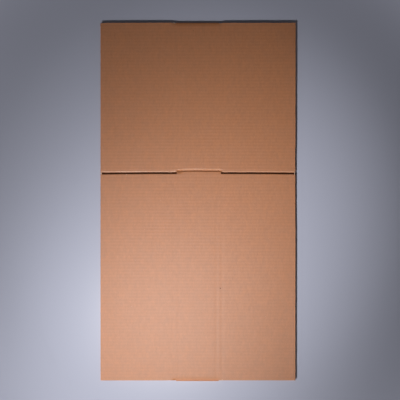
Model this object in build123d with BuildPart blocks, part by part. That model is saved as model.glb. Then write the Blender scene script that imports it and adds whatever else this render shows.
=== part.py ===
from build123d import *
from math import tan, radians
import os

# A slotted carton of fluted board, knocked flat. It is one folded sheet, seen from outside:
# the sleeve between the flap creases is closed by a fold at each end and by a glued joint
# in its lower layer, and the eight flaps lie in line with it, four to a layer.
# X runs across the flaps and along the flutes, Y along the flattened sleeve, Z up.
# The origin is under the middle of the carton. All sizes are in millimetres.

# Panels, from crease to crease
long_panel = 410.5
short_panel = 296.5
body_height = 86.0           # between the two flap creases
flap_depth = 150.2           # from a flap crease to the flap's cut edge

# Board
board = 3.0                  # whole thickness
facing = 0.3                 # each flat paper of the board
medium = 0.3                 # fluted paper, where it touches a facing
flute_pitch = 6.4
flute_seat = 0.7             # strip of a facing that each flute is glued to
flute_margin = 1.5           # board crushed shut along a cut that runs with the flutes

# Slots and folded ends
slot_width = 4.8
fold_bulge = 1.4             # how far a folded end stands past its crease line and the flaps
fold_nose = 7.0              # length over which a folded end narrows
fold_tip = 4.2               # height of the narrowed end
fold_tip_radius = 1.8
fold_wall = 2.6              # board left at the tip of a folded end

# Crease of each flap: two valleys with a low ridge between them
flap_score_pitch = 10.9
flap_score_depth = 0.45
flap_score_ridge = 0.12      # how far the ridge lies below the face
flap_score_crush = 1.5       # board crushed shut beyond the valleys

# Crease between the two panels of the upper layer
panel_score_width = 8.6
panel_score_depth = 1.5
panel_score_shift = 5.6      # from the slots' middle line towards the short panel
panel_score_ramp = 5.0       # length over which it runs out at each flap crease

# Glued joint between the two panels of the lower layer
lap_width = 36.0
lap_thickness = 1.5          # board crushed for gluing
lap_taper = 15.0             # degrees, at each end of the lap
lap_end_gap = 1.5            # from the lap to each flap crease
lap_step = 3.2               # length over which the board steps up into the lap
lap_play = 0.15              # between the lap and the layer above it

# Worked out from the sizes above
layer_gap = lap_thickness + lap_play
upper_base = board + layer_gap
top = upper_base + board
middle = top / 2
crease_line = (long_panel + short_panel) / 2
fold_end = crease_line + fold_bulge
slot_line = crease_line - short_panel
half_body = body_height / 2
flap_score_width = 2 * flap_score_pitch
crushed = flap_score_width / 2 + flap_score_crush
flute_depth = flap_depth - crushed
joint_near = slot_width / 2 - slot_line
joint_far = -slot_width / 2 - slot_line
lap_edge = -slot_line - lap_width
layers = ((0, -slot_line), (upper_base, slot_line))   # underside and slot line of each


def panel_spans(slot_middle):
    """The two stretches of flap along Y, on each side of a layer's slot."""
    near, far = slot_middle - slot_width / 2, slot_middle + slot_width / 2
    return ((-crease_line, near), (far, crease_line))


def board_section(base, start, end):
    """Plain section of a board that lies from start to end."""
    with Locations(((start + end) / 2, base + board / 2)):
        Rectangle(end - start, board)


def flute_channels(base, start, end):
    """Open flutes of a board: channels hung from the upper facing, others on the lower."""
    low, high = base + facing, base + board - facing
    half = (flute_pitch - flute_seat) / 2
    count = int((end - start - 2 * flute_margin) / flute_pitch)
    with Locations(((start + end) / 2, 0)):
        with GridLocations(flute_pitch, 0, count, 1):
            Polygon((-half, high), (0, low + medium), (half, high), align=None, mode=Mode.SUBTRACT)
        with GridLocations(flute_pitch, 0, count - 1, 1):
            Polygon((-half, low), (half, low), (0, high - medium), align=None, mode=Mode.SUBTRACT)


# Fluted stretch of the flaps on one side, in both layers, open at the cut edge
with BuildPart() as fluted:
    with BuildSketch(Plane.YZ.offset(half_body + crushed)):
        for base, slot_middle in layers:
            for start, end in panel_spans(slot_middle):
                board_section(base, start, end)
                flute_channels(base, start, end)
    extrude(amount=flute_depth)

# Lap of the glued joint: it steps up off the long panel and lies on the short one
with BuildPart() as lap:
    with BuildSketch(Plane.YZ.offset(-half_body)):
        with BuildLine():
            Polyline(
                (joint_near + lap_step / 2, board),
                (joint_near - lap_step, board + lap_thickness),
                (lap_edge, board + lap_thickness),
                (lap_edge, board),
                close=True,
            )
        make_face()
    extrude(amount=body_height)
    near_half = half_body - lap_end_gap
    far_half = near_half - (joint_near - lap_edge) * tan(radians(lap_taper))
    with BuildSketch():
        with BuildLine():
            Polyline(
                (-near_half, joint_near + lap_step),
                (-near_half, joint_near),
                (-far_half, lap_edge),
                (far_half, lap_edge),
                (near_half, joint_near),
                (near_half, joint_near + lap_step),
                close=True,
            )
        make_face()
    extrude(amount=top, mode=Mode.INTERSECT)

# Valleys of the flap creases in the upper face, for both sides
with BuildPart() as flap_scores:
    with BuildSketch(Plane.XZ):
        for line in (-half_body, half_body):
            near, far = line - flap_score_pitch, line + flap_score_pitch
            dip = top - flap_score_depth
            ridge = (line, top - flap_score_ridge)
            with BuildLine():
                ThreePointArc((near, top), ((near + line) / 2, dip), ridge)
                ThreePointArc(ridge, ((line + far) / 2, dip), (far, top))
                Polyline((far, top), (far, top + board), (near, top + board), (near, top))
            make_face()
    extrude(amount=fold_end, both=True)

# Valley of the panel crease, which runs out at both ends
with BuildPart() as panel_score:
    valley = slot_line + panel_score_shift
    near, far = valley - panel_score_width / 2, valley + panel_score_width / 2
    with BuildSketch(Plane.YZ.offset(-half_body)):
        with BuildLine():
            ThreePointArc((near, top), (valley, top - panel_score_depth), (far, top))
            Polyline((far, top), (far, top + board), (near, top + board), (near, top))
        make_face()
    extrude(amount=body_height)
    with BuildSketch(Plane.XZ.offset(-far)):
        with BuildLine():
            Polyline(
                (-half_body, top),
                (-half_body + panel_score_ramp, top - panel_score_depth),
                (half_body - panel_score_ramp, top - panel_score_depth),
                (half_body, top),
                (half_body, top + board),
                (-half_body, top + board),
                close=True,
            )
        make_face()
    extrude(amount=panel_score_width, mode=Mode.INTERSECT)

with BuildPart() as carton:
    # Sleeve: both layers and the folds that close it, round a thin gap pinched shut at its ends
    with BuildSketch(Plane.YZ.offset(-half_body)):
        shoulder = fold_end - fold_nose
        low, high = middle - fold_tip / 2, middle + fold_tip / 2
        with BuildLine():
            Polyline((-shoulder, 0), (shoulder, 0), (fold_end, low), (fold_end, high))
            Polyline((fold_end, high), (shoulder, top), (-shoulder, top), (-fold_end, high))
            Polyline((-fold_end, high), (-fold_end, low), (-shoulder, 0))
        make_face()
        fillet(vertices().filter_by_position(Axis.Y, low, high), fold_tip_radius)
        inside = fold_end - fold_wall
        pinch = inside - layer_gap
        with BuildLine():
            Polyline((-inside, middle), (-pinch, board), (pinch, board), (inside, middle))
            Polyline((inside, middle), (pinch, upper_base), (-pinch, upper_base), (-inside, middle))
        make_face(mode=Mode.SUBTRACT)
    extrude(amount=body_height)

    # Joint: the lap goes on, then the panels part below it
    add(lap.part)
    with BuildSketch(Plane.YZ.offset(-half_body)):
        with BuildLine():
            Polyline(
                (joint_near, 0),
                (joint_near - lap_step, board),
                (joint_far, board),
                (joint_far, 0),
                close=True,
            )
        make_face()
    extrude(amount=body_height, mode=Mode.SUBTRACT)

    # Flaps beside the sleeve, crushed solid along their creases
    with BuildSketch(Plane.YZ.offset(half_body), Plane.YZ.offset(-half_body - crushed)):
        for base, slot_middle in layers:
            for start, end in panel_spans(slot_middle):
                board_section(base, start, end)
    extrude(amount=crushed)

    # Creases, in the upper face and in the face underneath
    add(flap_scores.part, mode=Mode.SUBTRACT)
    mirror(flap_scores.part, about=Plane.XY.offset(middle), mode=Mode.SUBTRACT)
    add(panel_score.part, mode=Mode.SUBTRACT)

    # The rest of the flaps, on both sides
    add((fluted.part, mirror(fluted.part, about=Plane.YZ, mode=Mode.PRIVATE)))

carton.part.label = "carton"

os.makedirs("parts", exist_ok=True)
export_step(carton.part, "parts/carton.step")
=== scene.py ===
import math

import bpy
import numpy as np
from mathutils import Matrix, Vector


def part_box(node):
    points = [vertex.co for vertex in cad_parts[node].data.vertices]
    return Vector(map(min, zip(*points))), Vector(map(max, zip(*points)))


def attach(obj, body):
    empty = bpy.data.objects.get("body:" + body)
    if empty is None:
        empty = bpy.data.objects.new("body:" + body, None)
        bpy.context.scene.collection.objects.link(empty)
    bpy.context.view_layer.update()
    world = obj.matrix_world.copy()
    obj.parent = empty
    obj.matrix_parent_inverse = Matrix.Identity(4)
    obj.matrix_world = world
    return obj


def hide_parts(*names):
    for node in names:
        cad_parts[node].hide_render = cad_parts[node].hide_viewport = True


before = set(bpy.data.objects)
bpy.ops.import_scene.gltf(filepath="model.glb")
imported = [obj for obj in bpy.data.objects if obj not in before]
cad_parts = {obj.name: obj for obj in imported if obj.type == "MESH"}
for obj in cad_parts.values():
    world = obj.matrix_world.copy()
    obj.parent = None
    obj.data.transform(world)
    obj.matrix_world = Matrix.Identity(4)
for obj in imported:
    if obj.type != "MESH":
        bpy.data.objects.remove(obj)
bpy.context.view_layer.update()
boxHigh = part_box("carton")[1]        # its far upper corner
print("frame loaded")

# Lengths below are in millimetres, like those of the carton's drawing. Meshes are scaled to metres.
mm = 0.001
carton = {
    "top": boxHigh.z / mm,
    "foldEnd": boxHigh.y / mm,
    "halfWidth": boxHigh.x / mm,
    "bodyHalf": 43.0,             # half of the body strip, as drawn
    "board": 3.0,
    "paper": 0.3,
    "flutePitch": 6.4,
    "creaseLeft": -43.3,          # flap creases, where the double valleys are centred
    "creaseRight": 42.0,
    "scorePitch": 10.9,           # between the two valleys of a flap crease
    "scoreReach": 5.45,           # half the width of each valley
    "slotNear": 55.0,             # slots of the upper layer; the lower layer's are mirrored
    "slotFar": 58.8,
    "slotLeftEnd": -41.6,         # how far the slots come in from each side
    "slotRightEnd": 45.6,
    "foldLeftEnd": -43.4,
    "foldRightEnd": 41.2,
    "skin": 0.002,                # how far the faces stay inside the carton's height
}
board = carton["board"]
paper = carton["paper"]


def smooth(t):
    # Smooth step: 0 below 0, 1 above 1, and 3t squared less 2t cubed between
    t = np.clip(t, 0, 1)
    return t * t * (3 - 2 * t)


def dip(distance, reach):
    # Raised cosine: 1 in the middle, 0 from reach outwards
    return (1 + np.cos(np.pi * np.clip(distance / reach, -1, 1))) / 2


def wander(x, y, seed, length, count=8):
    # Sum of sine waves in seeded directions with wavelengths near length, from about -1 to 1
    dice = np.random.default_rng(seed)
    turns, phases = dice.uniform(0, 2 * np.pi, (2, count))
    lengths = length * dice.uniform(0.6, 1.8, count)
    total = 0
    for turn, phase, each in zip(turns, phases, lengths):
        total = total + np.sin((x * np.cos(turn) + y * np.sin(turn)) * 2 * np.pi / each + phase)
    return total / math.sqrt(2 * count)


def drift(x, y, setting):
    # Wander times a strength; a setting holds the strength, the seed and the wavelength
    strength, seed, length = setting
    return strength * wander(x, y, seed, length)


def pick(table, at):
    # Straight lines between the table's points
    return np.interp(at, *zip(*table))


def snap(places, cuts):
    # Moves the place nearest to each cut onto it
    for cut in cuts:
        places[np.argmin(np.abs(places - cut))] = cut
    return places


def cells(places):
    # Middles between neighbouring places
    return (places[:-1] + places[1:]) / 2


def addPiece(name, mesh, material):
    # Piece of the carton from a finished mesh
    piece = bpy.data.objects.new(name, mesh)
    bpy.context.scene.collection.objects.link(piece)
    mesh.materials.append(material)
    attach(piece, "root")
    return piece


def sheetObject(name, outer, inner, keep, material):
    # Closed sheet from two grids of points, the cells where keep is true, and a rim along each free edge
    rows, columns = outer.shape[:2]
    count = rows * columns
    index = np.arange(count).reshape(rows, columns)
    a, b, c, d = index[:-1, :-1], index[:-1, 1:], index[1:, 1:], index[1:, :-1]
    face = np.stack((a, b, c, d), -1)[keep]
    around = np.pad(keep, 1)
    free = (
        (around[:-2, 1:-1], a, b),
        (around[2:, 1:-1], c, d),
        (around[1:-1, 2:], b, c),
        (around[1:-1, :-2], d, a),
    )
    rims = []
    for neighbour, start, end in free:
        edge = keep & ~neighbour
        rims.append(np.stack((end, start, start + count, end + count), -1)[edge])
    quads = np.concatenate([face, face[:, ::-1] + count] + rims)
    points = np.concatenate((outer.reshape(-1, 3), inner.reshape(-1, 3))) * mm
    used, quads = np.unique(quads, return_inverse=True)
    quads = quads.reshape(-1, 4)
    mesh = bpy.data.meshes.new(name)
    mesh.from_pydata(points[used].tolist(), [], quads.tolist())
    mesh.polygons.foreach_set("use_smooth", np.arange(len(quads)) < 2 * len(face))
    loopEdges = np.zeros(4 * len(quads), np.int32)
    mesh.loops.foreach_get("edge_index", loopEdges)
    sharp = np.zeros(len(mesh.edges), bool)
    sharp[loopEdges[8 * len(face):]] = True       # the rims' edges
    mesh.attributes.new("sharp_edge", "BOOLEAN", "EDGE").data.foreach_set("value", sharp)
    mesh.update()
    print(name, "has", 2 * len(quads), "triangles")
    return addPiece(name, mesh, material)


def sheetNormals(points):
    # Cross product of the grid's column and row steps, made one long
    alongRows = np.gradient(points, axis=0)
    alongColumns = np.gradient(points, axis=1)
    normal = np.cross(alongColumns, alongRows)
    return normal / np.linalg.norm(normal, axis=2, keepdims=True)


# Paper finishes

kraft = {
    "colour": (0.510, 0.199, 0.081),
    "insideColour": (0.48, 0.19, 0.075),
    "roughness": 0.41,
    "insideRoughness": 0.8,
    "roughnessSwing": 0.08,
    "specular": 0.5,
    "insideSpecular": 0.15,
    "fibreScale": 900,
    "fibreDetail": 3,
    "fibreStretch": (1.0, 0.45, 1.0),     # fibres lie across the flutes
    "fibreStrength": 0.24,
    "bump": 0.00003,
    "patches": (                  # brightness patches: scale of each, and its strength
        (330, 0.20),
        (150, 0.15),
        (28, 0.06),
    ),
    "patchDetail": 2,
    "warm": (1.015, 1.0, 0.97),
    "cool": (0.985, 1.0, 1.035),
    "warmScale": 75,
    "warmContrast": (3, -1),      # gain and shift of the noise between warm and cool
    "glueAndShadeLines": 0.024,           # faint lines over the flutes' tips, painted washboard shade partly from glue
    "glueAndShadeTurn": (0.66, 0.12),     # their phase on the short and on the long panel, in radians
    "glueAndShadeWander": 0.9,
    "glueAndShadeScale": 14,
    # Painted highlight, partly rubbed paper: a paler colour on the crushed slot edges and the crease's wall
    # that face the lamps
    "rubbedAndHighlightColour": (0.66, 0.38, 0.24),
    "rubbedAndHighlightBands": (                     # paler bands of painted highlight on the lit slopes beside the slots and the crease, partly rubbed paper: x from and to, y from and to, strength
        (-162, -45, 58.7, 60.7, 0.50),
        (-195, -162, 58.7, 60.7, 0.25),
        (48, 195, 58.7, 60.7, 0.30),
        (-40, 43, 62.9, 64.8, 0.46),
    ),
    "rubbedAndHighlightBlur": 0.5,
    "rubbedAndHighlightScale": 260,
    "rubbedAndHighlightContrast": (2.4, -0.2),
}


def addMath(nodes, links, operation, *inputs):
    # Maths node fed by sockets and fixed numbers; gives its result's socket
    node = nodes.new("ShaderNodeMath")
    node.operation = operation
    for socket, value in zip(node.inputs, inputs):
        if isinstance(value, bpy.types.NodeSocket):
            links.new(value, socket)
        else:
            socket.default_value = value
    return node.outputs[0]


def addNoise(nodes, links, place, scale, detail):
    # Noise around a half; scale is in waves per metre
    noise = nodes.new("ShaderNodeTexNoise")
    noise.inputs["Scale"].default_value = scale
    noise.inputs["Detail"].default_value = detail
    links.new(place, noise.inputs["Vector"])
    return noise.outputs["Fac"]


def addStep(nodes, links, value, start, end):
    # Smooth step from 0 at start to 1 at end
    step = nodes.new("ShaderNodeMapRange")
    step.interpolation_type = "SMOOTHSTEP"
    step.inputs["From Min"].default_value = start
    step.inputs["From Max"].default_value = end
    links.new(value, step.inputs["Value"])
    return step


def addWindow(nodes, links, value, low, high):
    # 1 between low and high, 0 outside, with a smooth step of the bands' blur at both ends
    blur = kraft["rubbedAndHighlightBlur"]
    rise = addStep(nodes, links, value, (low - blur) * mm, (low + blur) * mm).outputs["Result"]
    fall = addStep(nodes, links, value, (high + blur) * mm, (high - blur) * mm).outputs["Result"]
    return addMath(nodes, links, "MULTIPLY", rise, fall)


def addRubbedAndHighlight(nodes, links, place, colour):
    # Mixes in the paler colour, painted highlight partly from rubbed paper, by the sum of the bands, each
    # times its strength, times a patchy noise
    parts = nodes.new("ShaderNodeSeparateXYZ")
    links.new(place, parts.inputs[0])
    bands = 0
    for xLow, xHigh, yLow, yHigh, strength in kraft["rubbedAndHighlightBands"]:
        across = addWindow(nodes, links, parts.outputs["X"], xLow, xHigh)
        along = addWindow(nodes, links, parts.outputs["Y"], yLow, yHigh)
        both = addMath(nodes, links, "MULTIPLY", across, along)
        bands = addMath(nodes, links, "MULTIPLY_ADD", both, strength, bands)
    noise = addNoise(nodes, links, place, kraft["rubbedAndHighlightScale"], kraft["patchDetail"])
    patchy = addMath(nodes, links, "MULTIPLY_ADD", noise, *kraft["rubbedAndHighlightContrast"])
    share = addMath(nodes, links, "MULTIPLY", bands, patchy)
    share.node.use_clamp = True
    mix = nodes.new("ShaderNodeMixRGB")
    mix.inputs["Color2"].default_value = (*kraft["rubbedAndHighlightColour"], 1)
    links.new(share, mix.inputs["Fac"])
    links.new(colour, mix.inputs["Color1"])
    return mix.outputs["Color"]


def addGlueAndShadeLines(nodes, links, place):
    # 1 plus the lines' strength times the sine of the place along the sleeve over each panel's own flute
    # pitch: painted washboard shade, partly glue lines
    parts = nodes.new("ShaderNodeSeparateXYZ")
    links.new(place, parts.inputs[0])
    along = parts.outputs["Y"]
    crease = upper["valleyLine"] * mm
    swing = kraft["glueAndShadeWander"]
    noise = addNoise(nodes, links, place, kraft["glueAndShadeScale"], 1)
    phase = addMath(nodes, links, "MULTIPLY_ADD", noise, swing, -swing / 2)
    fromCrease = addMath(nodes, links, "SUBTRACT", along, crease)
    for operation, pitch in (("MAXIMUM", upper["pitchShort"]), ("MINIMUM", upper["pitchLong"])):
        part = addMath(nodes, links, operation, fromCrease, 0)
        phase = addMath(nodes, links, "MULTIPLY_ADD", part, 2 * math.pi / pitch / mm, phase)
    turnShort, turnLong = kraft["glueAndShadeTurn"]
    onShort = addMath(nodes, links, "GREATER_THAN", along, crease)
    turned = addMath(nodes, links, "MULTIPLY_ADD", onShort, turnShort - turnLong, turnLong)
    wave = addMath(nodes, links, "SINE", addMath(nodes, links, "ADD", turned, phase))
    return addMath(nodes, links, "MULTIPLY_ADD", wave, kraft["glueAndShadeLines"], 1)


def kraftMaterial(name, colour, roughness, specular, outside=False):
    # Paper colour times patches of brightness at several scales and slow warm and cool drifts;
    # the outside also has faint lines over the flutes, painted washboard shade partly from glue, and paler
    # bands, painted highlight partly from rubbed paper
    material = bpy.data.materials.new(name)
    material.use_nodes = True
    nodes, links = material.node_tree.nodes, material.node_tree.links
    shader = nodes["Principled BSDF"]
    shader.inputs["Specular IOR Level"].default_value = specular
    place = nodes.new("ShaderNodeTexCoord").outputs["Object"]
    stretch = nodes.new("ShaderNodeMapping")
    stretch.inputs["Scale"].default_value = kraft["fibreStretch"]
    links.new(place, stretch.inputs["Vector"])
    stretched = stretch.outputs["Vector"]
    fibres = addNoise(nodes, links, stretched, kraft["fibreScale"], kraft["fibreDetail"])
    layers = [(fibres, kraft["fibreStrength"])]
    for scale, strength in kraft["patches"]:
        layers.append((addNoise(nodes, links, stretched, scale, kraft["patchDetail"]), strength))
    # Faint lines over the flutes: painted washboard shade, partly glue lines
    level = addGlueAndShadeLines(nodes, links, place) if outside else 1
    for noise, strength in layers:
        layer = addMath(nodes, links, "MULTIPLY_ADD", noise, strength, 1 - strength / 2)
        level = addMath(nodes, links, "MULTIPLY", level, layer)
    noise = addNoise(nodes, links, place, kraft["warmScale"], 1)
    coolShare = addMath(nodes, links, "MULTIPLY_ADD", noise, *kraft["warmContrast"])
    coolShare.node.use_clamp = True
    hue = nodes.new("ShaderNodeMixRGB")
    hue.inputs["Color1"].default_value = (*np.multiply(colour, kraft["warm"]), 1)
    hue.inputs["Color2"].default_value = (*np.multiply(colour, kraft["cool"]), 1)
    links.new(coolShare, hue.inputs["Fac"])
    tint = nodes.new("ShaderNodeMixRGB")
    tint.blend_type = "MULTIPLY"
    tint.inputs["Fac"].default_value = 1
    links.new(hue.outputs["Color"], tint.inputs["Color1"])
    links.new(level, tint.inputs["Color2"])
    paint = tint.outputs["Color"]
    # On the outside, paler bands of painted highlight, partly rubbed paper
    if outside:
        paint = addRubbedAndHighlight(nodes, links, place, paint)
    links.new(paint, shader.inputs["Base Color"])
    swing = kraft["roughnessSwing"]
    rough = addMath(nodes, links, "MULTIPLY_ADD", fibres, swing, roughness - swing / 2)
    links.new(rough, shader.inputs["Roughness"])
    bump = nodes.new("ShaderNodeBump")
    bump.inputs["Distance"].default_value = kraft["bump"]
    links.new(fibres, bump.inputs["Height"])
    links.new(bump.outputs["Normal"], shader.inputs["Normal"])
    return material


# Upper face: the outer paper of the upper layer, with both folded ends

upper = {
    # Washboard over the flutes. Each drift is a strength, a seed and a wavelength
    "rippleShort": 0.060,
    "rippleLong": 0.046,
    "rippleLines": (65.1, 65.7),  # where the ripple of the short and of the long panel starts
    "rippleDrift": (0.6, 5, 60),
    "phaseDrift": (0.3, 7, 110),
    "pitchShort": 6.414,
    "pitchLong": 6.379,
    "least": 0.02,                # least depth below the top plane
    "sag": 0.06,
    "sagDrift": (1.0, 11, 160),
    # Depth of the flap creases along the sleeve
    "scoreAlong": ((-354, 0.08), (-150, 0.07), (40, 0.06), (80, 0.05), (354, 0.05)),
    "scoreDrift": (0.2, 17, 60),
    # Crease between the panels: a valley whose sides are not alike
    "valleyLine": 62.35,
    "valleyNear": 3.3,
    "valleyFar": 3.2,
    "valleyDepth": 1.95,
    "valleyPast": (0.5, 2.0),     # how far it runs out past the slots' left and right ends
    "valleyFade": 4.0,
    "leftBend": (1.4, -29, 9),    # bend towards each slot: amount, start and length
    "rightBend": (0.6, 40, 5),
    "lineDrift": (0.35, 23, 30),
    "depthDrift": (0.1, 29, 14),
    # Slots, with the short panel's edge crushed beside them
    "bevel": 2.15,
    "bevelDrop": 1.0,
    "bevelDrift": (0.18, 31, 24),
    "bevelPast": (7.0, 7.0),      # how far past each slot's end it is whole
    "bevelFade": 7.5,
    "nearDrop": 0.06,             # the long panel's edge
    "nearReach": 2,
    "slotBow": 0.7,               # how far the slots bend towards their outer ends
    "bowFrom": 90,
    "bowOver": 100,
    "bowLine": 57,
    "bowReach": 14,
    "slotFlare": 0.8,             # how much wider they are at their inner ends
    "flareLeft": (-3, 6),         # its middle, from the slot's end, and its reach
    "flareRight": (2, 5),
    "flareRise": 5,
    # Folded ends
    "foldLength": 9.5,
    "foldNose": 4.8,              # height of the fold's furthest point
    "foldUnder": 342.0,
    "foldRamp": 9,                # from the fold to the flaps beside it
    "foldTurns": (0.2, 0.4, 0.6, 0.75, 0.88, 1.0, 1.2, 1.4, 1.6, 1.85, 2.15, 2.5, 2.85),
    "flapTurn": 1.0,              # the flaps end at this turn
    "underStep": 1.5,
    # Cut edges and ends
    "leftEdge": ((-354, -192.6), (-60, -192.0), (80, -192.0), (354, -192.95)),
    "rightEdge": (
        (-354, 192.5), (-60, 192.8), (-35, 192.4), (20, 192.2), (90, 192.2), (120, 192.8), (354, 193.15),
    ),
    "leftRagged": (0.12, 61, 14),
    "rightRagged": (0.12, 67, 14),
    "drawnFrom": 60,              # the columns outside this are drawn in to the cut edges
    "nicks": ((37.3, 0.6, 2.2), (-3.0, 0.8, 2.6), (-9.5, 0.5, 2.4)),   # right edge: place, depth, reach
    "nearEnd": ((-193, -353.4), (-62, -353.3), (-57, -352.7), (-45, -352.6), (42, -353.1), (193, -353.0)),
    "farEnd": (
        (-193, 353.6), (-180, 353.9), (-130, 354.2),
        (-52.2, 354.2), (-50.8, 353.0), (-49.3, 354.2), (-46, 354.2), (-44.5, 352.8), (-42, 354.1),
        (40, 354.1), (41.5, 353.2), (46.5, 353.2), (48, 354.0), (193, 354.1),
    ),
    # Grid: even rows, closer rows at the slots and the crease, and columns from left to middle
    "rows": 441,
    "closeFrom": 53.7,
    "closeTo": 67.9,
    "closeRows": (
        54.3, 59.2, 59.6, 60.1, 60.6, 60.95, 61.25, 61.7, 62.2, 62.7, 63.2, 63.8, 64.4, 65.1, 65.8, 67.0,
    ),
    "edgeColumns": (0, 0.5, 1.3, 3, 6.5),                        # from the cut edge
    "columns": ((-180, -62, 16), (-57, -27, 21), (-22, 0, 4)),   # from, to and how many
    "columnShift": 1.3,           # the right half is the left one mirrored and moved to the left
}

facePaper = kraftMaterial("kraft_face", kraft["colour"], kraft["roughness"], kraft["specular"], True)
innerPaper = kraftMaterial(
    "kraft_inside", kraft["insideColour"], kraft["insideRoughness"], kraft["insideSpecular"],
)


def betweenSlots(x, past, length):
    # 1 between the slots' inner ends and 0 outside them, with smooth steps that end past each slot's end
    left = smooth((x - carton["slotLeftEnd"] + past[0]) / length)
    return left * smooth((carton["slotRightEnd"] + past[1] - x) / length)


def upperDrop(x, y):
    # Depth below the top plane: ripple + two valleys at each flap crease + panel valley + crushed slot edge
    onShort = y > upper["valleyLine"]
    pitch = np.where(onShort, upper["pitchShort"], upper["pitchLong"])
    phase = (y - np.where(onShort, *upper["rippleLines"])) / pitch * 2 * np.pi
    phase = phase + drift(x, y, upper["phaseDrift"])
    ripple = np.where(onShort, upper["rippleShort"], upper["rippleLong"]) * (1 - np.cos(phase)) / 2
    drop = ripple * (1 + drift(x, y, upper["rippleDrift"])) + upper["least"]
    drop = drop + upper["sag"] * (1 + drift(x, y, upper["sagDrift"]))

    depth = pick(upper["scoreAlong"], y) * (1 + drift(x, y, upper["scoreDrift"]))
    for line in (carton["creaseLeft"], carton["creaseRight"]):
        for side in (-0.5, 0.5):
            drop = drop + depth * dip(x - line - side * carton["scorePitch"], carton["scoreReach"])

    leftBend, leftStart, leftLength = upper["leftBend"]
    rightBend, rightStart, rightLength = upper["rightBend"]
    line = upper["valleyLine"] + drift(x, 0 * x, upper["lineDrift"])
    line = line - leftBend * smooth((leftStart - x) / leftLength)
    line = line - rightBend * smooth((x - rightStart) / rightLength)
    reach = np.where(y < line, upper["valleyNear"], upper["valleyFar"])
    depth = upper["valleyDepth"] * (1 + drift(x, 0 * x, upper["depthDrift"]))
    drop = drop + depth * betweenSlots(x, upper["valleyPast"], upper["valleyFade"]) * dip(y - line, reach)

    beside = 1 - betweenSlots(x, upper["bevelPast"], upper["bevelFade"])
    width = upper["bevel"] * (1 + drift(x, 0 * x, upper["bevelDrift"]))
    farSide = y > (carton["slotNear"] + carton["slotFar"]) / 2
    slope = np.clip((carton["slotFar"] + width - y) / width, 0, 1)
    drop = drop + beside * upper["bevelDrop"] * slope * farSide
    slope = smooth((y - carton["slotNear"] + upper["nearReach"]) / upper["nearReach"])
    return drop + beside * upper["nearDrop"] * slope * ~farSide


def upperRows():
    # Flat places of the rows along the sleeve, and their turn round a fold from 0, flat, to pi, underneath
    start = carton["foldEnd"] - upper["foldLength"]
    plain = np.linspace(-start, start, upper["rows"])
    plain = plain[(plain < upper["closeFrom"]) | (plain > upper["closeTo"])]
    close = (*upper["closeRows"], carton["slotNear"], carton["slotFar"])
    plain = np.sort(np.concatenate((plain, close)))
    turn = np.array((*upper["foldTurns"], np.pi))
    flat = start + upper["foldLength"] * np.sin(np.minimum(turn, upper["flapTurn"]))
    under = np.array((start - upper["underStep"], upper["foldUnder"]))
    place = np.concatenate((flat, under))
    turns = np.concatenate((turn, np.full(len(under), np.pi)))
    rows = np.concatenate((-place[::-1], plain, place))
    bends = np.concatenate((-turns[::-1], np.zeros(len(plain)), turns))
    return rows, bends


def upperColumns():
    # Places of the columns: close together at the creases and the cut edges, wide elsewhere
    edge = carton["halfWidth"]
    beside = np.array(upper["edgeColumns"])
    spans = [np.linspace(*span) for span in upper["columns"]]
    left = np.concatenate((-edge + beside, *spans))
    right = -left[:-1][::-1] - upper["columnShift"]
    right[-len(beside):] = edge - beside[::-1]
    ends = (carton["foldLeftEnd"], carton["slotLeftEnd"], carton["foldRightEnd"], carton["slotRightEnd"])
    return snap(np.concatenate((left, right)), ends)


rows, bends = upperRows()
columns = upperColumns()
flatY, flatX = np.meshgrid(rows, columns, indexing="ij")
turn = np.abs(np.broadcast_to(bends[:, None], flatY.shape))
side = np.sign(flatY)


def drawnIn(x, y):
    # Across the flaps the columns are drawn in evenly to the cut edges and their nicks
    edge = carton["halfWidth"]
    start = upper["drawnFrom"]
    left = pick(upper["leftEdge"], y) + drift(0 * x, y, upper["leftRagged"])
    right = pick(upper["rightEdge"], y) + drift(0 * x, y, upper["rightRagged"])
    for place, depth, reach in upper["nicks"]:
        right = right - depth * dip(y - place, reach)
    x = np.where(x < -start, -start + (x + start) * (-left - start) / (edge - start), x)
    return np.where(x > start, start + (x - start) * (right - start) / (edge - start), x)


def flareAt(x, end, side, setting):
    # Raised cosine past a slot's inner end, on the slot's side of it
    middle, reach = setting
    return dip(x - end - middle, reach) * (side * (x - end) >= 0)


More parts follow.
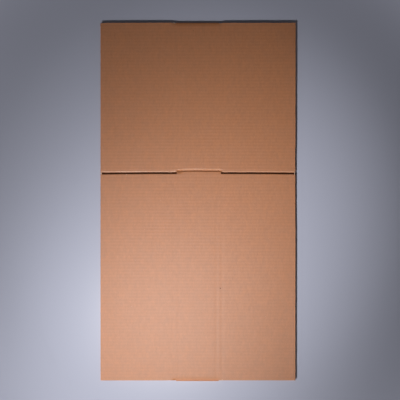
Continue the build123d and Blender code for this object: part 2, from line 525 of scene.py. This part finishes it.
def upperPoints():
    # Flat at the top plane less its drop; round a fold two ellipses of foldLength meet at the nose
    start = carton["foldEnd"] - upper["foldLength"]
    x = drawnIn(flatX, flatY)
    drop = upperDrop(x, flatY)
    nose = upper["foldNose"]
    height = np.where(turn < np.pi / 2, carton["top"] - nose, nose) - drop
    around = start + upper["foldLength"] * np.sin(turn) - drop * np.sin(turn)
    foldY = np.where((turn > 0) & (turn < np.pi), around, np.abs(flatY))
    foldZ = nose + height * np.cos(turn)

    # The flaps stay level and stretch to their cut ends
    ends = np.where(side > 0, pick(upper["farEnd"], x), -pick(upper["nearEnd"], x))
    lastFlat = start + upper["foldLength"] * np.sin(upper["flapTurn"])
    past = np.abs(flatY) - start
    flapY = np.where(past > 0, start + past * (ends - start) / (lastFlat - start), np.abs(flatY))
    flapZ = carton["top"] - drop

    # Share of the fold: 1 across the body, 0 across the flaps
    right = smooth((flatX - carton["foldRightEnd"]) / upper["foldRamp"])
    left = smooth((carton["foldLeftEnd"] - flatX) / upper["foldRamp"])
    body = np.where(turn > upper["flapTurn"], 1, 1 - right - left)
    y = side * (body * foldY + (1 - body) * flapY)
    z = body * foldZ + (1 - body) * flapZ

    bow = smooth((np.abs(x) - upper["bowFrom"]) / upper["bowOver"])
    y = y - upper["slotBow"] * bow * dip(flatY - upper["bowLine"], upper["bowReach"]) * (turn == 0)
    flare = flareAt(flatX, carton["slotRightEnd"], 1, upper["flareRight"])
    flare = flare + flareAt(flatX, carton["slotLeftEnd"], -1, upper["flareLeft"])
    aboveSlot = dip(flatY - carton["slotFar"], upper["flareRise"]) * (flatY >= carton["slotFar"])
    y = y + upper["slotFlare"] * flare * aboveSlot
    return np.stack((x, y, z), -1)


outer = upperPoints()
inner = outer - paper * sheetNormals(outer)
for points in (outer, inner):
    points[..., 2] = np.clip(points[..., 2], carton["skin"], carton["top"] - carton["skin"])
cellX, cellY, cellTurn = cells(columns), cells(rows), cells(np.abs(bends))
inSlot = (cellY > carton["slotNear"]) & (cellY < carton["slotFar"])
outOfBody = (cellX < carton["slotLeftEnd"]) | (cellX > carton["slotRightEnd"])
outOfFold = (cellX < carton["foldLeftEnd"]) | (cellX > carton["foldRightEnd"])
folded = cellTurn > upper["flapTurn"]
keep = ~(inSlot[:, None] & outOfBody[None, :]) & ~(folded[:, None] & outOfFold[None, :])
upperFace = sheetObject("upperFace", outer, inner, keep, facePaper)
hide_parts("carton")


# Lower face, with the glued joint's gap

lower = {
    "slot": (-54.6, -59.4),
    "slotClear": (-57, 3.2),      # no even row lies this near to the slots' middle line
    "ripple": 0.05,
    "rippleDrift": (0.4, 41, 90),
    "scoreDepth": 0.4,
    "rows": (-345, 345, 433),
    "endRows": (349, 353.4),
    "edgeColumns": (193, 190),
    "columns": ((180, 62, 9), (57, 29, 19), (20, 0, 2)),   # from the right edge to the middle
}


def plainSheet(name, columns, rows, height, thickness, keep, material, faceUp=True):
    # Sheet whose height is a number or follows from the place; the paper lies behind its good side
    if not faceUp:
        rows, keep = rows[::-1], keep[::-1]
    y, x = np.meshgrid(rows, columns, indexing="ij")
    z = height(x, y) if callable(height) else np.full(x.shape, height)
    outer = np.stack((x, y, z), -1)
    inner = outer + (0, 0, -thickness if faceUp else thickness)
    return sheetObject(name, outer, inner, keep, material)


def flapKeep(columns, rows, slot, gapInBody, bodyEnd):
    # Cells outside the slot, and in the body as far as bodyEnd
    x, y = cells(columns)[None, :], cells(rows)[:, None]
    body = np.abs(x) < carton["bodyHalf"]
    inside = (y > min(slot)) & (y < max(slot))
    return ~(inside & (~body | gapInBody)) & (~body | (np.abs(y) < bodyEnd))


def lowerHeight(x, y):
    # Height of the underside: ripple over each flute and two valleys at each flap crease
    rise = lower["ripple"] * (1 - np.cos(y / carton["flutePitch"] * 2 * np.pi)) / 2 + carton["skin"]
    rise = rise * (1 + drift(x, y, lower["rippleDrift"]))
    for line in (-carton["bodyHalf"], carton["bodyHalf"]):
        for side in (-0.5, 0.5):
            away = x - line - side * carton["scorePitch"]
            rise = rise + lower["scoreDepth"] * dip(away, carton["scoreReach"])
    return rise


spans = [np.linspace(*span) for span in lower["columns"]]
right = np.concatenate((lower["edgeColumns"], *spans))
lowerColumns = snap(np.concatenate((-right, right[:-1][::-1])), (-carton["bodyHalf"], carton["bodyHalf"]))
slotMiddle, slotClear = lower["slotClear"]
lowerRows = np.linspace(*lower["rows"])
lowerRows = lowerRows[np.abs(lowerRows - slotMiddle) > slotClear]
endRows = np.array(lower["endRows"])
lowerRows = np.sort(np.concatenate((lowerRows, lower["slot"], -endRows, endRows)))
lowerKeep = flapKeep(lowerColumns, lowerRows, lower["slot"], True, upper["foldUnder"])
plainSheet("lowerFace", lowerColumns, lowerRows, lowerHeight, paper, lowerKeep, facePaper, False)


# Plain papers inside

lining = {
    "columns": (-192.9, -120, carton["slotLeftEnd"], 0, 43, 120, 192.9),
    "rows": (-353.3, -346, -200, 0, 200, 346, 353.3),
    "slot": (54.6, 59.2),
    "bodyEnd": 346,
}


def liningSheet(name, side, height, gapInBody, faceUp):
    # Level paper with its slots on the upper layer's side, 1, or on the lower layer's, -1
    slot = side * np.array(lining["slot"])
    rows = np.sort(np.concatenate((lining["rows"], slot)))
    columns = np.array(lining["columns"])
    keep = flapKeep(columns, rows, slot, gapInBody, lining["bodyEnd"])
    plainSheet(name, columns, rows, height, paper, keep, innerPaper, faceUp)


liningSheet("upperLining", 1, carton["top"] - board, False, False)
liningSheet("lowerLining", -1, board, True, True)


# Fluted paper of the flaps, open at their cut edges

flutes = {
    "perPitch": 12,
    "thickness": 0.3,
    "play": 0.06,                 # left between the wave and each paper
    "low": 0.02,                  # how far the wave's middle lies below the board's
    "end": 353.5,
    "endStep": 0.3,               # the wave stops this much before the papers' ends
    "inner": 45.5,
    "outer": 192.7,
    "edgeStep": 40,
    "phaseDrift": (0.5, 53, 300),
    "upperSlot": (54.8, 61.0),
    "lowerSlot": (-59.2, -54.8),
}


def flutedSheet(name, base, slot):
    # A sine wave along the sleeve between the two papers, thickened square to its own slope
    pitch = carton["flutePitch"]
    reach = (board - 2 * paper - flutes["thickness"]) / 2 - flutes["play"]
    count = round(2 * flutes["end"] / pitch) * flutes["perPitch"] + 1
    end = flutes["end"] - flutes["endStep"]
    rows = snap(np.linspace(-end, end, count), slot)
    inner, outer, step = flutes["inner"], flutes["outer"], flutes["edgeStep"]
    columns = np.array((-outer, -outer + step, -inner, inner, outer - step, outer))
    y, x = np.meshgrid(rows, columns, indexing="ij")
    angle = y / pitch * 2 * np.pi + drift(x, y, flutes["phaseDrift"])
    centre = base + board / 2 - flutes["low"] + reach * np.cos(angle)
    slope = -reach * np.sin(angle) * 2 * np.pi / pitch
    length = np.sqrt(1 + slope ** 2)
    normal = np.stack((0 * x, -slope / length, 1 / length), -1)
    points = np.stack((x, y, centre), -1)
    half = flutes["thickness"] / 2
    cellsY = cells(rows)[:, None]
    keep = ((cellsY < min(slot)) | (cellsY > max(slot))) & (np.abs(cells(columns)) > inner)[None, :]
    return sheetObject(name, points + half * normal, points - half * normal, keep, innerPaper)


flutedSheet("upperFluting", carton["top"] - board, flutes["upperSlot"])
flutedSheet("lowerFluting", 0, flutes["lowerSlot"])


# Glued lap inside the lower layer: it steps up off the long panel and lies on the short one

lap = {
    "stepRows": (-52.0, -59.5, 12),       # from, to and how many
    "levelRows": (-62.0, -93.0, 9),
    "columns": 9,
    "halfWidth": 41.5,
    "taperFrom": -54.6,
    "taper": math.tan(math.radians(15)),
    "thickness": 1.4,
    "rootHeight": 1.2,
    "stepStart": -53.4,
    "step": 4.48,
    "clearFrom": -58.0,                   # from here it clears the board below
    "seat": 0.02,                         # play above the board it lies on
    "least": 0.01,                        # never nearer to it than this
    "ripple": 0.04,
    "rippleEnd": -90.0,                   # level from here to the free edge
}


def lapSheet():
    # Level, one smooth step up over the step length, then level; its width narrows towards the free edge
    rows = np.concatenate((np.linspace(*lap["stepRows"]), np.linspace(*lap["levelRows"])))
    columns = np.linspace(-1, 1, lap["columns"])
    y, share = np.meshgrid(rows, columns, indexing="ij")
    width = lap["halfWidth"] - np.maximum(lap["taperFrom"] - y, 0) * lap["taper"]
    step = smooth((lap["stepStart"] - y) / lap["step"])
    low = lap["rootHeight"] + (board + lap["seat"] - lap["rootHeight"]) * step
    ripple = lap["ripple"] * np.sin(y / carton["flutePitch"] * 2 * np.pi)
    low = low + ripple * step * (y > lap["rippleEnd"])
    low = np.maximum(low, np.where(y < lap["clearFrom"], board + lap["least"], 0))
    outer = np.stack((share * width, y, low), -1)
    inner = outer + (0, 0, lap["thickness"])
    keep = np.ones((len(rows) - 1, len(columns) - 1), bool)
    return sheetObject("glueLap", outer, inner, keep, facePaper)


lapSheet()
print("sheets made")


# Specks in the paper and torn bits at the cuts

bits = {
    "corners": 9,
    "uneven": (0.7, 1.15),
    "dark": (                     # x, y, length, width, turn
        (44.6, -171.0, 2.2, 2.0, 0.2),
        (-8.8, 338.5, 2.6, 0.7, 1.5),
        (68.3, -152.6, 1.0, 0.7, 0.6),
        (93.1, -202.0, 0.9, 0.6, 2.0),
        (103.0, -77.4, 0.9, 0.7, 1.1),
        (117.8, -103.1, 1.1, 0.6, 0.3),
    ),
    "pale": (
        (-47.3, 353.7, 2.4, 1.5, 0.3),
        (-46.2, 352.9, 1.3, 0.9, 1.2),
        (-191.3, 56.2, 5.0, 2.0, 1.75),        # a strip of paper left across each slot's outer end
        (191.6, 56.1, 5.0, 1.3, 1.45),
        (-141.4, 53.9, 2.4, 1.1, 0.1),
        (47.9, -352.2, 2.6, 1.0, 0.1),
    ),
    "scattered": 46,              # more of each kind, seeded
    "across": 188,                # how far they are scattered from the middle
    "along": 345,
    "lengths": (0.45, 1.1),
    "widths": (0.25, 0.5),
    "bareLine": 59,               # none near the slots and the crease
    "bareReach": 9,
    "lift": 0.015,
    "deepest": 0.25,
    "depth": 0.06,
    "highest": 0.001,             # below the carton's top
    "darkColour": (0.10, 0.040, 0.020),
    "darkSeed": 71,
    "paleColour": (0.78, 0.54, 0.39),
    "paleSeed": 73,
}


def bitsPiece(name, given, colour, seed):
    # Flat many-cornered flakes: an ellipse with uneven radii, its top just above the paper, its foot in it
    dice = np.random.default_rng(seed)
    more = bits["scattered"]
    scattered = np.stack((
        dice.uniform(-bits["across"], bits["across"], more),
        dice.uniform(-bits["along"], bits["along"], more),
        dice.uniform(*bits["lengths"], more),
        dice.uniform(*bits["widths"], more),
        dice.uniform(0, np.pi, more),
    ), -1)
    scattered = scattered[np.abs(scattered[:, 1] - bits["bareLine"]) > bits["bareReach"]]
    flakes = np.concatenate((given, scattered))
    x, y, length, width, turned = flakes.T[:, :, None]
    corners = bits["corners"]
    angles = np.arange(corners) / corners * 2 * np.pi
    radii = dice.uniform(*bits["uneven"], (len(flakes), corners)) / 2
    along, across = radii * length * np.cos(angles), radii * width * np.sin(angles)
    px = x + along * np.cos(turned) - across * np.sin(turned)
    py = y + along * np.sin(turned) + across * np.cos(turned)
    top = carton["top"] - np.minimum(upperDrop(px, py), bits["deepest"]) + bits["lift"]
    top = np.minimum(top, carton["top"] - bits["highest"])
    upperRing = np.stack((px, py, top), -1)
    lowerRing = upperRing - (0, 0, bits["depth"])
    points = np.concatenate((upperRing, lowerRing), 1).reshape(-1, 3) * mm
    ring = np.arange(corners)
    ahead = np.roll(ring, -1)
    walls = np.stack((ring + corners, ahead + corners, ahead, ring), -1)
    faces = []
    for start in range(0, len(points), 2 * corners):
        faces.append((start + ring).tolist())
        faces.append((start + corners + ring[::-1]).tolist())
        faces += (start + walls).tolist()
    mesh = bpy.data.meshes.new(name)
    mesh.from_pydata(points.tolist(), [], faces)
    finish = kraftMaterial(name + "_paper", colour, kraft["insideRoughness"], kraft["insideSpecular"])
    addPiece(name, mesh, finish)
    print(name, "has", len(flakes), "flakes")


bitsPiece("darkSpecks", bits["dark"], bits["darkColour"], bits["darkSeed"])
bitsPiece("paleFibres", bits["pale"], bits["paleColour"], bits["paleSeed"])


# Stage: a pale floor, two spot lamps low on the near left, a lamp seen only in the gloss, a dim sky,
# and a lamp below for looks at the underside. Its lengths are in metres.

stage = {
    "centre": (0.00405, 0.00366),      # the point under the camera
    "cameraHeight": 2.5,
    "viewWidth": 0.7912,               # width of the picture at the upper face
    "sensorWidth": 36,
    "farthest": 50,
    "floorSize": 12.0,
    "floorColour": (0.505, 0.519, 0.630),
    "floorRoughness": 0.22,
    "floorSpecular": 0.25,
    "farGlow": 0.58,                   # the floor far from the carton, as the camera sees it
    "farStart": 0.40,
    "farEnd": 0.85,
    "keyWay": (-0.48, -0.76, 1.0),
    "keyDistance": 4.0,
    "keyRadius": 0.12,
    "keys": (                          # where each points, its half angle and power
        ("key", (-0.0030, -0.2391), 0.1180, 484.8),
        ("fill", (-0.1476, -0.0368), 0.1384, 333.7),
    ),
    "sheenPlace": (-0.096, -0.341, 1.38),
    "sheenPower": 35.5,
    "sheenRadius": 0.12,
    "underPlace": (0.5, -0.7, -2.5),
    "underPower": 170.0,
    "underRadius": 0.5,
    "sky": (0.07, 0.07, 0.072),
    "skyGloss": 0.1,                   # share of the sky that shows in the gloss
    "backdrop": (0.62, 0.64, 0.68),
}

scene = bpy.context.scene
camera = bpy.data.objects.new("camera", bpy.data.cameras.new("camera"))
scene.collection.objects.link(camera)
scene.camera = camera
camera.location = (*stage["centre"], stage["cameraHeight"] + boxHigh.z)
camera.rotation_euler = (0, 0, 0)
camera.data.sensor_width = stage["sensorWidth"]
camera.data.lens = stage["sensorWidth"] * stage["cameraHeight"] / stage["viewWidth"]
camera.data.clip_end = stage["farthest"]


def floorMaterial():
    # Plain paint that glows for the camera far out, by a smooth step of the distance, and is clear from below
    material = bpy.data.materials.new("floor_paint")
    material.use_nodes = True
    nodes, links = material.node_tree.nodes, material.node_tree.links
    shader = nodes["Principled BSDF"]
    shader.inputs["Base Color"].default_value = (*stage["floorColour"], 1)
    shader.inputs["Roughness"].default_value = stage["floorRoughness"]
    shader.inputs["Specular IOR Level"].default_value = stage["floorSpecular"]
    distance = nodes.new("ShaderNodeVectorMath")
    distance.operation = "LENGTH"
    links.new(nodes.new("ShaderNodeTexCoord").outputs["Object"], distance.inputs[0])
    glow = addStep(nodes, links, distance.outputs["Value"], stage["farStart"], stage["farEnd"])
    glow.inputs["To Max"].default_value = stage["farGlow"]
    ray = nodes.new("ShaderNodeLightPath")
    seen = addMath(nodes, links, "MULTIPLY", ray.outputs["Is Camera Ray"], glow.outputs["Result"])
    shader.inputs["Emission Color"].default_value = (*stage["floorColour"], 1)
    links.new(seen, shader.inputs["Emission Strength"])
    either = nodes.new("ShaderNodeMixShader")
    links.new(nodes.new("ShaderNodeNewGeometry").outputs["Backfacing"], either.inputs["Fac"])
    links.new(shader.outputs["BSDF"], either.inputs[1])
    links.new(nodes.new("ShaderNodeBsdfTransparent").outputs["BSDF"], either.inputs[2])
    links.new(either.outputs["Shader"], nodes["Material Output"].inputs["Surface"])
    return material


half = stage["floorSize"] / 2
floorMesh = bpy.data.meshes.new("floor")
floorCorners = ((-half, -half, 0), (half, -half, 0), (half, half, 0), (-half, half, 0))
floorMesh.from_pydata(floorCorners, [], [(0, 1, 2, 3)])
floorMesh.materials.append(floorMaterial())
floor = bpy.data.objects.new("floor", floorMesh)
scene.collection.objects.link(floor)
floor.visible_shadow = False


def addLamp(name, kind, place, power, radius):
    # Lamp of a kind at a place, with its power in watts and its radius
    lamp = bpy.data.objects.new(name, bpy.data.lights.new(name, kind))
    scene.collection.objects.link(lamp)
    lamp.location = place
    lamp.data.energy = power
    lamp.data.shadow_soft_size = radius
    return lamp


way = Vector(stage["keyWay"]).normalized()
for name, spot, angle, power in stage["keys"]:
    target = Vector((*spot, 0))
    lamp = addLamp(name, "SPOT", target + way * stage["keyDistance"], power, stage["keyRadius"])
    lamp.rotation_euler = way.to_track_quat("Z", "Y").to_euler()
    lamp.data.spot_size = 2 * angle
    lamp.data.spot_blend = 1
sheen = addLamp("sheen", "POINT", stage["sheenPlace"], stage["sheenPower"], stage["sheenRadius"])
sheen.visible_diffuse = False
addLamp("under", "POINT", stage["underPlace"], stage["underPower"], stage["underRadius"])

# Sky: the camera sees a plain backdrop instead, and the gloss only a share of it
world = bpy.data.worlds.new("sky")
scene.world = world
world.use_nodes = True
skyNodes, skyLinks = world.node_tree.nodes, world.node_tree.links
plain = skyNodes["Background"]
plain.inputs["Color"].default_value = (*stage["sky"], 1)
backdrop = skyNodes.new("ShaderNodeBackground")
backdrop.inputs["Color"].default_value = (*stage["backdrop"], 1)
ray = skyNodes.new("ShaderNodeLightPath")
dim = addMath(skyNodes, skyLinks, "MULTIPLY_ADD", ray.outputs["Is Glossy Ray"], stage["skyGloss"] - 1, 1)
skyLinks.new(dim, plain.inputs["Strength"])
choose = skyNodes.new("ShaderNodeMixShader")
skyLinks.new(ray.outputs["Is Camera Ray"], choose.inputs["Fac"])
skyLinks.new(plain.outputs["Background"], choose.inputs[1])
skyLinks.new(backdrop.outputs["Background"], choose.inputs[2])
skyLinks.new(choose.outputs["Shader"], skyNodes["World Output"].inputs["Surface"])

scene.view_settings.view_transform = "Standard"
print("stage set")
